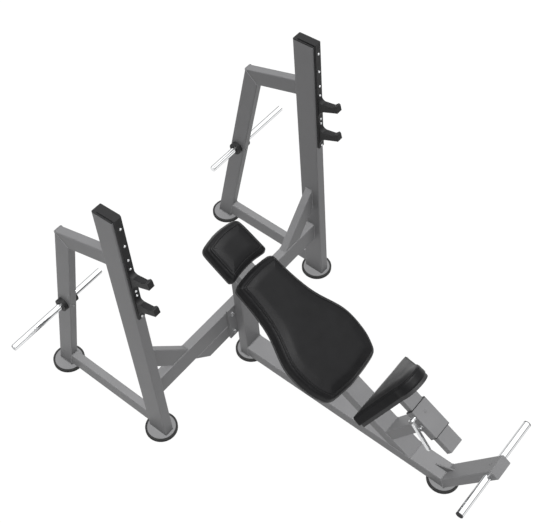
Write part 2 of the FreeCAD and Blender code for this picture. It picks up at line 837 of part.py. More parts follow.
def seat_plate_piece():
    plate = bar(2 * seat_plate_half_width, 2 * seat_plate_half_height, seat_tube_end, seat_underside, corner)
    for cutter in seat_screw_places(hole(screw_radius, 2 * seat_plate)):
        plate = plate.cut(cutter)
    return on_slide(plate)


def seat_screws():
    return on_slide(group(seat_screw_places(screw(seat_plate + pad_screw_depth))))


def seat_outline(inset):
    """Seat pad seen from its top: a straight wide edge below, tapering sides and a round nose above."""
    lean = math.atan2(seat_low_half - seat_neck_half, seat_neck + seat_drop)
    shift = inset / math.cos(lean)
    low = -seat_drop + inset
    low_half = seat_low_half - shift - inset * math.tan(lean)
    neck_half = seat_neck_half - shift
    nose = seat_nose - inset
    edges = [
        Part.LineSegment(Vector(-low_half, low, 0), Vector(low_half, low, 0)).toShape(),
        Part.LineSegment(Vector(low_half, low, 0), Vector(neck_half, seat_neck, 0)).toShape(),
        Part.Arc(Vector(neck_half, seat_neck, 0), Vector(0, nose, 0), Vector(-neck_half, seat_neck, 0)).toShape(),
        Part.LineSegment(Vector(-neck_half, seat_neck, 0), Vector(-low_half, low, 0)).toShape(),
    ]
    return Part.Face(Part.Wire(edges))


def seat_layer(inset, start, end):
    """Seat board or cushion between two places along the slide."""
    face = seat_outline(inset)
    face.translate(Vector(0, 0, start))
    block = face.extrude(Z_AXIS * (end - start))
    low = -seat_drop + inset
    corners = [edge for edge in block.Edges
               if edge.BoundBox.YMax < low + TINY and abs(edge.BoundBox.ZLength - (end - start)) < TINY]
    return turned(block.makeFillet(seat_corner, corners), Z_AXIS, 180)


def seat_board():
    shape = seat_layer(board_inset, seat_underside, seat_underside + board)
    for cutter in seat_screw_places(rod(screw_radius + pin_fit, -seat_plate - pad_screw_depth, 0)):
        shape = shape.cut(cutter)
    return on_slide(shape)


def seat_pad():
    return on_slide(seat_layer(0, seat_underside + board, seat_underside + seat_total))


# Seat lock

def lock_pin():
    """Round pin, here withdrawn: its tip stands clear of the seat tube."""
    tip = -seat_tube_width / 2 - pin_gap
    length = lever_inner - pin_head_gap + tip
    piece = rod(pin_radius, tip - length, tip)
    ends = [edge for edge in piece.Edges if edge.BoundBox.ZLength < TINY]
    piece = piece.makeChamfer(pin_chamfer, ends)
    return on_slide(at(along_x(piece), 0, 0, pin_place))


def lever_pivot():
    """Stud from the sleeve's side with a head that keeps the lever on."""
    outer = lever_inner + lever_thickness + slide_fit
    stud = rod(pivot_radius, -outer, -sleeve_side + wall)
    head = rod(pivot_head_radius, -outer - pivot_head, -outer)
    return on_slide(at(along_x(stud.fuse(head)), 0, -pivot_above_axis, pivot_place))


def lever():
    """Flat hand lever that hangs from its pivot towards the front."""
    blade = Part.makeBox(lever_thickness, lever_depth, lever_length, Vector(0, -lever_depth / 2, -lever_length))
    tip = at(along_x(rod(lever_depth / 2, 0, lever_thickness)), 0, 0, -lever_length)
    hub = along_x(rod(lever_hub_radius, 0, lever_thickness))
    shape = blade.fuse(tip).fuse(hub).removeSplitter()
    shape = shape.cut(along_x(rod(pivot_radius + pin_fit, -1, lever_thickness + 1)))
    flat_ends = [edge for edge in shape.Edges
                 if edge.BoundBox.XLength < TINY and edge.BoundBox.ZMin < -lever_hub_radius]
    shape = shape.makeFillet(lever_round, flat_ends)
    shape = at(turned(shape, X_AXIS, lever_drop), -lever_inner - lever_thickness, -pivot_above_axis, pivot_place)
    return on_slide(shape)


def lever_spring():
    """Coil of spring wire round the pivot, between the sleeve and the lever."""
    room = lever_gap - 2 * spring_wire - 2 * slide_fit
    coil = Part.makeHelix(room / spring_turns, room, spring_radius)
    start = Vector(spring_radius, 0, 0)
    section = Part.Wire(Part.makeCircle(spring_wire, start, Y_AXIS))
    wire = Part.Wire(coil).makePipeShell([section], True, True)
    piece = at(along_x(wire), -lever_inner + spring_wire + slide_fit, -pivot_above_axis, pivot_place)
    return on_slide(piece)


def side_pieces():
    """Everything that the right side frame holds and its left twin mirrors."""
    return {
        "upright": upright(),
        "upright_cap": upright_top_cap(),
        "bar_guard": bar_guard(),
        "bar_hooks": bar_hooks(),
        "rear_post": rear_post(),
        "top_tube": top_tube(),
        "side_rail": side_rail(),
        "brace": brace(),
        "plate_horn": plate_horn(),
        "horn_collars": horn_collars(),
    }


def all_pieces():
    pieces = feet()
    for name, shape in side_pieces().items():
        pieces["right_" + name] = shape
        pieces["left_" + name] = mirrored(shape)
    pieces.update({
        "guard_screws": both_sides(guard_screws()),
        "set_screws": group([*both_sides(horn_screw()).Solids, foot_bar_screw(), sleeve_screw()]),
        "crossbar": crossbar(),
        "crossbar_stiffener": crossbar_stiffener(),
        "post_plate": joint_plate(0),
        "crossbar_plate": joint_plate(1),
        "plate_bolts": plate_bolts(),
        "centre_post": centre_post(),
        "base_rail": base_rail(),
        "front_tube": front_tube(),
        "front_tube_cap": front_tube_cap(),
        "gusset": gusset(),
        "foot_bar": foot_bar(),
        "foot_bar_caps": foot_bar_caps(),
        "back_beam": back_beam(),
        "beam_end_cap": beam_end_cap(),
        "cross_flats": cross_flats(),
        "pad_screws": pad_screws(),
        "back_board": drilled_board(pad_outline(back_half, board_inset)),
        "back_pad": layer(pad_outline(back_half, 0), pad_gap + board, pad_gap + pad_total),
        "head_board": drilled_board(pad_outline(head_half, board_inset)),
        "head_pad": layer(pad_outline(head_half, 0), pad_gap + board, pad_gap + pad_total),
        "seat_post": seat_post(),
        "seat_sleeve": seat_sleeve(),
        "seat_bushes": seat_bushes(),
        "seat_tube": seat_tube(),
        "seat_tube_cap": seat_tube_cap(),
        "seat_plate": seat_plate_piece(),
        "seat_screws": seat_screws(),
        "seat_board": seat_board(),
        "seat_pad": seat_pad(),
        "lock_pin": lock_pin(),
        "lever_pivot": lever_pivot(),
        "lever": lever(),
        "lever_spring": lever_spring(),
    })
    return pieces


os.makedirs("parts", exist_ok=True)
for node, shape in all_pieces().items():
    if not shape.isValid():
        raise ValueError(node + " isn't a valid solid")
    shape.exportStep("parts/" + node + ".step")
    print(node, len(shape.Solids), round(shape.Volume / 1000, 1), "cm3")
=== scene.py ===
"""Looks of an incline bench press station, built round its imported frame. Metres, +Z up, -Y the front."""
import json
import math

import bmesh
import bpy
import numpy as np
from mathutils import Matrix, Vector
from mathutils.bvhtree import BVHTree


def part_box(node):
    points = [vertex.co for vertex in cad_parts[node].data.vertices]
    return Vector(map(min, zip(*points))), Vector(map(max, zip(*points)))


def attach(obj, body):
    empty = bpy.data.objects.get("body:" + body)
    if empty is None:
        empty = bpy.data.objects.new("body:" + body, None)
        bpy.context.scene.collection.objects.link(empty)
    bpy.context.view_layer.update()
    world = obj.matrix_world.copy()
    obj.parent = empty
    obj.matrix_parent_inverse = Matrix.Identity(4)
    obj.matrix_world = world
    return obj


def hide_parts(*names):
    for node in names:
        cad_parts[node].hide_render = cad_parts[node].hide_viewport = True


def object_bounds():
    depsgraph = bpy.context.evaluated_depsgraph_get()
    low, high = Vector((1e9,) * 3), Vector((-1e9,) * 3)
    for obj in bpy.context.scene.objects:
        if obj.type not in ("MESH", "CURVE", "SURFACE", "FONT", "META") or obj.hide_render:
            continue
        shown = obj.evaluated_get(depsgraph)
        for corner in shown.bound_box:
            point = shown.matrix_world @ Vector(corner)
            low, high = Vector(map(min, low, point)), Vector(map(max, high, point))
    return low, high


bl_info = {
    "name": "Incline Bench Station",
    "version": (1, 0, 0),
    "blender": (4, 5, 0),
    "location": "View3D > Sidebar > Bench",
    "description": "Upholstery, welds and finishes for an incline bench press station",
    "category": "Object",
}

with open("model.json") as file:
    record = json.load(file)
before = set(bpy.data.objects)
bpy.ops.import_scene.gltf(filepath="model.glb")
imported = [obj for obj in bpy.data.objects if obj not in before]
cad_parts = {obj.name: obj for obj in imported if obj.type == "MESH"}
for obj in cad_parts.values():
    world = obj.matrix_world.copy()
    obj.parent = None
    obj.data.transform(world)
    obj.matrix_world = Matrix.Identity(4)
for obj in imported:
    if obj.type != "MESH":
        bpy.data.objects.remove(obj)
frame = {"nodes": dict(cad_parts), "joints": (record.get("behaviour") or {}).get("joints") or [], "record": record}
CAD_LOW, CAD_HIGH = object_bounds()

# Directions of the inclined bench: up along the beam, and out of its top face
ALONG = Vector(next(j["axis"] for j in frame["joints"] if j["name"] == "seat_slide")).normalized()
ACROSS = Vector((1, 0, 0))
OUT = ACROSS.cross(ALONG)

# Each cushion: its node, its body, the axes of its plan with its top's direction, and whether its sides lean in
CUSHIONS = {
    "back": ("back_pad", "frame", (ACROSS, ALONG, OUT), True),
    "head": ("head_pad", "frame", (ACROSS, ALONG, OUT), True),
    "seat": ("seat_pad", "seat", (-ACROSS, OUT, ALONG), False),
}
WELDED = ("rear_post", "top_tube", "side_rail", "brace")
WELDED_MIDDLE = ("crossbar", "centre_post", "base_rail", "front_tube", "back_beam", "seat_post")
CLOSED_ENDS = ("front_tube_cap", "beam_end_cap")

# Tolerances of the CAD meshes, in metres
MERGE = 1e-5        # corners nearer than this are one corner
TINY = 1e-9         # stands in for a length of nothing in a division
UPWARD = 0.9        # least rise of the direction of a face that counts as a top
LEVEL = 1e-4        # heights nearer than this are one height
NEAR_CAP = 0.01     # a tube's end this near to a cap's box is closed by it

# What tells a tube's cut end from its other flat faces
END_AREA = 5e-4            # least area of its outline, in square metres
END_METAL = (0.04, 0.45)   # share of the outline that is metal
END_FLATNESS = 1e-3        # how far its middle may lie from its plane

BATCH = 2000        # points compared with an outline at a time
NOISE_BAND = (0.3, 0.7)    # range that most values of a noise texture lie in
STITCH_SHARE = 0.36        # half of a stitch's length, as a share of the pitch
RIPPLE_SHARE = 0.9         # half of a weld ripple's length, as a share of the pitch

# Where a cushion's seam runs, and how its lines are evened
EDGE_SHARE = 0.7           # the seam's place on a leaning edge, as a share of its radius
CRISP_SHARE = 0.8          # the same on a crisp edge
PIPING_SINK = 0.3          # share of the piping's radius that lies in the seam
TURN_ROUNDS = 12           # smoothing of the directions in which the lines are inset
LINE_ROUNDS = 8            # smoothing of the seam and of the stitch line
THREAD_ROUNDS = 2          # smoothing of the thread once it lies on the cover
DROP = 0.1                 # height over the cushion from which a line is dropped on it
SEAM_REACH = 3             # half widths of the seam within which it moves the cover


def linear(text):
    """Linear colour from an sRGB hex value."""
    parts = [int(text[k:k + 2], 16) / 255 for k in (0, 2, 4)]
    return [p / 12.92 if p <= 0.04045 else ((p + 0.055) / 1.055) ** 2.4 for p in parts]


def colour(name, text, words):
    """Setting for a colour, from an sRGB hex value."""
    return bpy.props.FloatVectorProperty(name=name, description=words, subtype="COLOR", size=3,
                                         min=0, max=1, default=linear(text))


def length(name, metres, words):
    """Setting for a length."""
    return bpy.props.FloatProperty(name=name, description=words, unit="LENGTH", subtype="DISTANCE",
                                   min=0, default=metres, precision=4)


def angle(name, degrees, words):
    """Setting for an angle."""
    return bpy.props.FloatProperty(name=name, description=words, subtype="ANGLE",
                                   default=math.radians(degrees))


class BenchFinishes(bpy.types.PropertyGroup):
    """Colours of the station's finishes."""
    steel: colour("Powder coat", "6a6a6b", "Grey polyester powder coat on the tubes")
    vinyl: colour("Vinyl", "111112", "Black upholstery vinyl")
    plastic: colour("Plastic", "19191a", "Black moulded nylon of guards, caps and collars")
    rubber: colour("Rubber", "141414", "Black rubber of the feet")
    board: colour("Board", "1d1d1e", "Black stained plywood under the cushions")
    chrome: colour("Chrome", "f2f3f4", "Chrome plate on the bars and the lock pin")
    zinc: colour("Zinc", "d9dadb", "Bright zinc plate on screws and bolts")


class BenchUpholstery(bpy.types.PropertyGroup):
    """Sizes of the cushions, their piping and their stitches."""
    voxel: length("Mesh size", 0.005, "Size of the cushion's mesh before subdivision")
    shrink: length("Slack", 0.001, "How much smaller the cushion starts before its cover is filled")
    edge: length("Edge radius", 0.022, "Rounding of the foam's top edge where the sides lean in")
    crisp: length("Crisp edge radius", 0.009, "Rounding of the top edge where the sides stand upright")
    lean: length("Lean", 0.014, "How far the leaning sides come in between the board and the top")
    hem: length("Hem radius", 0.005, "Rounding where the cover turns under the board")
    crown: length("Crown", 0.004, "Rise of the middle over the edge")
    crown_reach: length("Crown reach", 0.07, "Distance from the edge at which the crown is full")
    swell: length("Swell", 0.004, "Most that the filled cover may move")
    pressure: bpy.props.FloatProperty(name="Fill pressure", description="Cloth pressure of the foam",
                                      default=4.0, min=0)
    frames: bpy.props.IntProperty(name="Settling frames", description="Frames of cloth simulation",
                                  default=20, min=2)
    tautness: bpy.props.IntProperty(name="Tautness", description="Rounds of smoothing of the cover's wrinkles",
                                    default=40, min=0)
    piping: length("Piping radius", 0.0021, "Radius of the welt sewn round the top panel")
    groove: length("Seam depth", 0.0016, "How far the seam pulls the cover in")
    groove_width: length("Seam width", 0.004, "Half width of the pulled-in strip")
    stitch: length("Stitch pitch", 0.006, "Distance between two stitches")
    stitch_radius: length("Thread radius", 0.0004, "Radius of the sewing thread")
    stitch_inset: length("Stitch inset", 0.0055, "Distance of the stitches inside the piping")


class BenchWelds(bpy.types.PropertyGroup):
    """Sizes of the weld beads."""
    radius: length("Bead radius", 0.0028, "Radius of the weld bead")
    ripple: length("Ripple pitch", 0.0032, "Distance between two ripples of the bead")


class BenchStage(bpy.types.PropertyGroup):
    """The camera, lights and floor."""
    turn: angle("Camera turn", 51.55, "Direction of view, turned from +Y towards +X")
    dip: angle("Camera dip", 52.8, "Direction of view below the horizon")
    distance: length("Camera distance", 4.54, "From the camera to the point that it aims at")
    lens: bpy.props.FloatProperty(name="Lens", description="Focal length in millimetres",
                                  default=71.76, min=1)
    aim: bpy.props.FloatVectorProperty(name="Aim", description="Aimed point, from the middle of the object",
                                       subtype="TRANSLATION", unit="LENGTH", default=(0.0091, 0.1566, 0.0758))
    floor_half: length("Floor half size", 30.0, "Half of the floor's side")
    ambient: bpy.props.FloatProperty(name="Ambient", description="Strength of the white surroundings",
                                     default=0.25, min=0)
    backdrop: bpy.props.FloatProperty(name="Backdrop", description="Strength of the surroundings behind the bench",
                                      default=1.0, min=0)
    walls: bpy.props.FloatProperty(name="Walls", description="Strength of the walls in reflections",
                                   default=0.06, min=0)
    ceiling: bpy.props.FloatProperty(name="Ceiling", description="Strength of the ceiling in reflections",
                                     default=1.3, min=0)
    key: bpy.props.FloatProperty(name="Key light", description="Strength of the overhead light",
                                 default=5.2, min=0)
    soft: angle("Light softness", 50, "Width of the overhead light in the sky")
    lamp: bpy.props.FloatVectorProperty(name="Light direction", description="Way that the overhead light shines",
                                        subtype="DIRECTION", default=(0.08, 0.05, -1))
    wall_top: bpy.props.FloatProperty(name="Wall top", description="Rise at which the walls start to brighten",
                                      default=0.2, min=0, max=1)
    ceiling_edge: bpy.props.FloatProperty(name="Ceiling edge", description="Rise at which the ceiling is full",
                                          default=0.45, min=0, max=1)
    floor_tone: bpy.props.FloatProperty(name="Floor tone", description="Share of light that the floor returns",
                                        default=0.16, min=0, max=1)
    glow: bpy.props.FloatProperty(name="Floor glow", description="Light that the pale floor gives itself",
                                  default=0.72, min=0)


# Materials

def add(tree, kind, inputs=None, **settings):
    """Adds a node with its settings; an input is a value or another node's output."""
    made = tree.nodes.new(kind)
    for key, value in settings.items():
        setattr(made, key, value)
    for key, value in (inputs or {}).items():
        if isinstance(value, bpy.types.NodeSocket):
            tree.links.new(value, made.inputs[key])
        else:
            made.inputs[key].default_value = value
    return made


def material(name, **shader):
    """A new material with its shader's constant values, and the object's coordinates in metres."""
    made = bpy.data.materials.new(name)
    made.use_nodes = True
    tree = made.node_tree
    surface = tree.nodes["Principled BSDF"]
    for key, value in shader.items():
        surface.inputs[key.replace("_", " ")].default_value = value
    place = add(tree, "ShaderNodeTexCoord").outputs["Object"]
    return made, tree, surface, place


def mottle(tree, surface, place, base, size, amount, roughness, spread):
    """Soft variation of colour and roughness over patches of a size in metres."""
    noise = add(tree, "ShaderNodeTexNoise", {"Vector": place, "Scale": 1 / size, "Detail": 4.0})
    dark = [part * (1 - amount) for part in base] + [1]
    light = [min(1, part * (1 + amount)) for part in base] + [1]
    ramp = add(tree, "ShaderNodeValToRGB", {"Fac": noise.outputs["Fac"]})
    for stop, position, shade in zip(ramp.color_ramp.elements, NOISE_BAND, (dark, light)):
        stop.position = position
        stop.color = shade
    tree.links.new(ramp.outputs["Color"], surface.inputs["Base Color"])
    rough = add(tree, "ShaderNodeMapRange",
                {"Value": noise.outputs["Fac"], "From Min": NOISE_BAND[0], "From Max": NOISE_BAND[1],
                 "To Min": roughness - spread, "To Max": roughness + spread})
    tree.links.new(rough.outputs["Result"], surface.inputs["Roughness"])


def relief(tree, surface, height, strength, depth):
    """Bump of a pattern, with its real depth in metres."""
    bump = add(tree, "ShaderNodeBump", {"Height": height, "Strength": strength, "Distance": depth})
    tree.links.new(bump.outputs["Normal"], surface.inputs["Normal"])


def pitted(tree, surface, place, size, detail, strength, depth):
    """Bump of small irregular pits of a size in metres."""
    noise = add(tree, "ShaderNodeTexNoise", {"Vector": place, "Scale": 1 / size, "Detail": detail})
    relief(tree, surface, noise.outputs["Fac"], strength, depth)


def powder_coated_steel(base):
    """Polyester powder coat: an even satin skin with a faint orange peel of about 2 mm."""
    made, tree, surface, place = material("powder_coated_steel", IOR=1.5, Specular_IOR_Level=0.2)
    mottle(tree, surface, place, base, 0.12, 0.04, 0.46, 0.04)
    pitted(tree, surface, place, 0.002, 2.0, 0.25, 0.0002)
    return made


def upholstery_vinyl(base):
    """PVC coated cloth: a leather-like pebble grain of about 2 mm with a soft sheen on its tops."""
    made, tree, surface, place = material("upholstery_vinyl", IOR=1.5, Specular_IOR_Level=0.14,
                                          Sheen_Weight=0.06, Sheen_Roughness=0.4)
    mottle(tree, surface, place, base, 0.05, 0.1, 0.44, 0.05)
    pebble = add(tree, "ShaderNodeTexVoronoi", {"Vector": place, "Scale": 1 / 0.0022},
                 feature="SMOOTH_F1").outputs["Distance"]
    fine = add(tree, "ShaderNodeTexNoise", {"Vector": place, "Scale": 1 / 0.0008, "Detail": 2.0}).outputs["Fac"]
    height = add(tree, "ShaderNodeMath", {0: pebble, 1: fine}, operation="ADD").outputs["Value"]
    relief(tree, surface, height, 0.3, 0.0003)
    return made


def moulded_nylon(base):
    """Spark-eroded mould texture: fine, even and dull."""
    made, tree, surface, place = material("moulded_nylon", IOR=1.53, Specular_IOR_Level=0.2)
    mottle(tree, surface, place, base, 0.03, 0.08, 0.55, 0.05)
    pitted(tree, surface, place, 0.001, 4.0, 0.3, 0.0002)
    return made


def foot_rubber(base):
    """Compression-moulded rubber: matt, a little dusty in patches."""
    made, tree, surface, place = material("foot_rubber", IOR=1.52, Specular_IOR_Level=0.3)
    mottle(tree, surface, place, base, 0.02, 0.25, 0.75, 0.08)
    pitted(tree, surface, place, 0.0015, 4.0, 0.4, 0.0003)
    return made


def chrome_plate(base):
    """Polished tube under bright chrome, with the faint rings that the polishing wheel leaves."""
    made, tree, surface, place = material("chrome_plate", Metallic=1.0, Specular_Tint=(0.3, 0.3, 0.31, 1))
    mottle(tree, surface, place, base, 0.04, 0.02, 0.08, 0.02)
    rings = add(tree, "ShaderNodeTexWave", {"Vector": place, "Scale": 1 / 0.006, "Distortion": 2.0},
                bands_direction="X").outputs["Fac"]
    relief(tree, surface, rings, 0.05, 0.0001)
    return made


def zinc_plate(base):
    """Electroplated zinc on turned steel: bright, slightly cloudy."""
    made, tree, surface, place = material("zinc_plate", Metallic=1.0)
    mottle(tree, surface, place, base, 0.006, 0.06, 0.3, 0.06)
    pitted(tree, surface, place, 0.0006, 2.0, 0.1, 0.0001)
    return made


def stained_plywood(base):
    """Birch plywood with black stain: grain lines 1.8 mm apart that show through it."""
    made, tree, surface, place = material("stained_plywood", IOR=1.5)
    mottle(tree, surface, place, base, 0.04, 0.2, 0.6, 0.06)
    stretched = add(tree, "ShaderNodeMapping", {"Vector": place, "Scale": (1.0, 0.08, 0.08)}).outputs["Vector"]
    pitted(tree, surface, stretched, 0.0018, 6.0, 0.35, 0.0003)
    return made


SURFACES = {
    "grey_paint": ("steel", powder_coated_steel),
    "black_vinyl": ("vinyl", upholstery_vinyl),
    "black_plastic": ("plastic", moulded_nylon),
    "rubber": ("rubber", foot_rubber),
    "board": ("board", stained_plywood),
    "chrome": ("chrome", chrome_plate),
    "zinc_steel": ("zinc", zinc_plate),
}


def finish(slot):
    """The material of a record's slot, made once."""
    colour_name, make = SURFACES[slot]
    return bpy.data.materials.get(make.__name__) or make(getattr(bpy.context.scene.bench_finishes, colour_name)[:])


def piece(name, mesh, body, slot, smooth=True):
    """Puts a finished mesh into the scene on its body, with its slot's material."""
    mesh.materials.clear()
    mesh.materials.append(finish(slot))
    mesh.polygons.foreach_set("use_smooth", [smooth] * len(mesh.polygons))
    made = bpy.data.objects.new(name, mesh)
    bpy.context.scene.collection.objects.link(made)
    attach(made, body)
    return made


def baked(source):
    """Plain mesh of an object with its modifiers applied; the object is removed."""
    bpy.context.view_layer.update()
    view = bpy.context.evaluated_depsgraph_get()
    mesh = bpy.data.meshes.new_from_object(source.evaluated_get(view), depsgraph=view)
    old = source.data
    curve = source.type == "CURVE"
    bpy.data.objects.remove(source)
    (bpy.data.curves if curve else bpy.data.meshes).remove(old)
    return mesh


def helper(name, mesh):
    """A working object that doesn't stay in the scene."""
    made = bpy.data.objects.new(name, mesh)
    bpy.context.scene.collection.objects.link(made)
    return made


def points_of(mesh):
    """A mesh's points as rows of x, y and z."""
    flat = np.empty(3 * len(mesh.vertices), np.float32)
    mesh.vertices.foreach_get("co", flat)
    return flat.reshape(-1, 3).astype(float)


def set_points(mesh, points):
    """Moves a mesh's points to new places."""
    mesh.vertices.foreach_set("co", points.astype(np.float32).ravel())
    mesh.update()


# Repeated details along a path

def bead_tree(name, subdivisions):
    """Geometry nodes that lay small oval beads along a path, end to end or spaced like stitches."""
    tree = bpy.data.node_groups.new(name, "GeometryNodeTree")
    face = tree.interface
    face.new_socket("Path", in_out="INPUT", socket_type="NodeSocketGeometry")
    for socket in ("Pitch", "Length", "Radius"):
        face.new_socket(socket, in_out="INPUT", socket_type="NodeSocketFloat")
    face.new_socket("Finish", in_out="INPUT", socket_type="NodeSocketMaterial")
    face.new_socket("Beads", in_out="OUTPUT", socket_type="NodeSocketGeometry")
    given = add(tree, "NodeGroupInput").outputs
    line = add(tree, "GeometryNodeMeshToCurve", {"Mesh": given["Path"]}).outputs["Curve"]
    spots = add(tree, "GeometryNodeCurveToPoints", {"Curve": line, "Length": given["Pitch"]}, mode="LENGTH")
    ball = add(tree, "GeometryNodeMeshIcoSphere", {"Radius": 1.0, "Subdivisions": subdivisions}).outputs["Mesh"]
    ball = add(tree, "GeometryNodeSetShadeSmooth", {"Geometry": ball}).outputs["Geometry"]
    size = add(tree, "ShaderNodeCombineXYZ", {"X": given["Radius"], "Y": given["Radius"], "Z": given["Length"]})
    spread = add(tree, "GeometryNodeInstanceOnPoints",
                 {"Points": spots.outputs["Points"], "Instance": ball, "Rotation": spots.outputs["Rotation"],
                  "Scale": size.outputs["Vector"]}).outputs["Instances"]
    solid = add(tree, "GeometryNodeRealizeInstances", {"Geometry": spread}).outputs["Geometry"]
    painted = add(tree, "GeometryNodeSetMaterial", {"Geometry": solid, "Material": given["Finish"]})
    add(tree, "NodeGroupOutput", {"Beads": painted.outputs["Geometry"]})
    return tree


def beads(name, loops, tree, pitch, size, radius, slot):
    """Mesh of the beads along closed loops of points."""
    path = bpy.data.meshes.new(name)
    spots, edges = [], []
    for loop in loops:
        first = len(spots)
        spots += [tuple(p) for p in loop]
        edges += [(first + k, first + (k + 1) % len(loop)) for k in range(len(loop))]
    path.from_pydata(spots, edges, [])
    source = helper(name, path)
    modifier = source.modifiers.new(name, "NODES")
    modifier.node_group = tree
    values = {"Pitch": pitch, "Length": size, "Radius": radius, "Finish": finish(slot)}
    for item in tree.interface.items_tree:
        if item.in_out == "INPUT" and item.name in values:
            modifier[item.identifier] = values[item.name]
    return baked(source)


def tube_along(name, loop, radius):
    """Round closed tube that follows a loop of points."""
    curve = bpy.data.curves.new(name, "CURVE")
    curve.dimensions = "3D"
    curve.bevel_depth = radius
    curve.bevel_resolution = 2
    spline = curve.splines.new("POLY")
    spline.points.add(len(loop) - 1)
    spline.points.foreach_set("co", np.column_stack([loop, np.ones(len(loop))]).astype(np.float32).ravel())
    spline.use_cyclic_u = True
    return baked(helper(name, curve))


# Cushions

def merged_copy(node):
    """The node's triangles as one connected mesh."""
    shape = bmesh.new()
    shape.from_mesh(frame["nodes"][node].data)
    bmesh.ops.remove_doubles(shape, verts=shape.verts, dist=MERGE)
    return shape


def plan_outline(shape, top, spacing):
    """Even points round the edge of the top face of a prism that stands along Z."""
    rim = [e for e in shape.edges if len(e.link_faces) == 2
           and sum(f.normal.z > UPWARD for f in e.link_faces) == 1
           and min(v.co.z for v in e.verts) > top - LEVEL]
    follow = {}
    for edge in rim:
        for a, b in (edge.verts, reversed(edge.verts)):
            follow.setdefault(a, []).append(b)
    start = next(iter(follow))
    loop, previous, current = [start], None, start
    while True:
        step = next(v for v in follow[current] if v is not previous)
        if step is start:
            break
        loop.append(step)
        previous, current = current, step
    corners = np.array([v.co[:2] for v in loop] + [loop[0].co[:2]])
    travelled = np.concatenate([[0], np.cumsum(np.linalg.norm(np.diff(corners, axis=0), axis=1))])
    places = np.linspace(0, travelled[-1], int(travelled[-1] / spacing), endpoint=False)
    even = np.column_stack([np.interp(places, travelled, corners[:, k]) for k in (0, 1)])
    turning = np.sum(even[:, 0] * np.roll(even[:, 1], -1) - even[:, 1] * np.roll(even[:, 0], -1))
    return even if turning > 0 else even[::-1]


def inward(outline, passes=6):
    """Unit directions into a counter-clockwise outline, smoothed round its corners."""
    ahead = np.roll(outline, -1, axis=0) - np.roll(outline, 1, axis=0)
    normals = np.column_stack([-ahead[:, 1], ahead[:, 0]])
    for _ in range(passes):
        normals = normals + 0.5 * (np.roll(normals, 1, axis=0) + np.roll(normals, -1, axis=0))
        normals /= np.linalg.norm(normals, axis=1)[:, None]
    return normals


def nearest_on(outline, plan):
    """Index of the nearest outline point and its distance, for each plan position."""
    which = np.empty(len(plan), int)
    for start in range(0, len(plan), BATCH):
        part = plan[start:start + BATCH]
        gaps = ((part[:, None, :] - outline[None]) ** 2).sum(2)
        which[start:start + BATCH] = gaps.argmin(1)
    return which, np.linalg.norm(plan - outline[which], axis=1)


def rounded(points, outline, low, high, sizes, leaning):
    """Turns a sharp-edged prism into a crowned cushion shape inside it."""
    edge = sizes.edge if leaning else sizes.crisp
    into = inward(outline)
    which, gap = nearest_on(outline, points[:, :2])
    shift = np.zeros(len(points))
    height = points[:, 2].copy()
    for radius, face, side in ((edge, high, 1), (sizes.hem, low, -1)):
        from_wall = np.clip(radius - gap, 0, None)
        from_top = np.clip(side * (points[:, 2] - face) + radius, 0, None)
        reach = np.maximum(from_wall, from_top)
        size = np.hypot(from_wall, from_top)
        near = (from_wall > 0) & (from_top > 0)
        scale = np.where(near, reach / np.maximum(size, TINY), 1.0)
        shift += np.where(near, from_wall * (1 - scale), 0)
        height += np.where(near, side * from_top * (scale - 1), 0)
    rise = np.clip(gap / sizes.crown_reach, 0, 1)
    level = np.clip((points[:, 2] - low) / (high - low), 0, 1)
    shift += (sizes.shrink + leaning * sizes.lean * level) * (1 - rise)
    height += sizes.crown * rise * rise * (3 - 2 * rise) * level
    plan = points[:, :2] + into[which] * shift[:, None]
    return np.column_stack([plan, height])


def evened(mesh, field, rounds):
    """Vectors at a mesh's points, each averaged with its neighbours a number of times."""
    ends = np.array([tuple(edge.vertices) for edge in mesh.edges])
    count = np.bincount(ends.ravel(), minlength=len(field))[:, None]
    for _ in range(rounds):
        total = np.zeros_like(field)
        np.add.at(total, ends[:, 0], field[ends[:, 1]])
        np.add.at(total, ends[:, 1], field[ends[:, 0]])
        field = (field + total / count) / 2
    return field


def filled(shape, low, sizes):
    """Lets the cover swell over its foam by cloth simulation, held at the board, and smooths its wrinkles."""
    before = points_of(shape.data)
    held = shape.vertex_groups.new(name="board")
    held.add([int(k) for k in np.flatnonzero(before[:, 2] < low + sizes.hem)], 1.0, "REPLACE")
    cloth = shape.modifiers.new("cover", "CLOTH")
    cloth.settings.use_pressure = True
    cloth.settings.uniform_pressure_force = sizes.pressure
    cloth.settings.effector_weights.gravity = 0
    cloth.settings.vertex_group_mass = held.name
    cloth.point_cache.frame_start = 1
    cloth.point_cache.frame_end = sizes.frames
    for number in range(1, sizes.frames + 1):
        bpy.context.scene.frame_set(number)
    view = bpy.context.evaluated_depsgraph_get()
    swollen = bpy.data.meshes.new_from_object(shape.evaluated_get(view), depsgraph=view)
    after = points_of(swollen)
    bpy.data.meshes.remove(swollen)
    shape.modifiers.remove(cloth)
    shape.vertex_groups.remove(held)
    bpy.context.scene.frame_set(1)
    move = after - before
    size = np.linalg.norm(move, axis=1)[:, None]
    move = move * np.minimum(1, sizes.swell / np.maximum(size, TINY))
    before += evened(shape.data, move, sizes.tautness)
    set_points(shape.data, before)


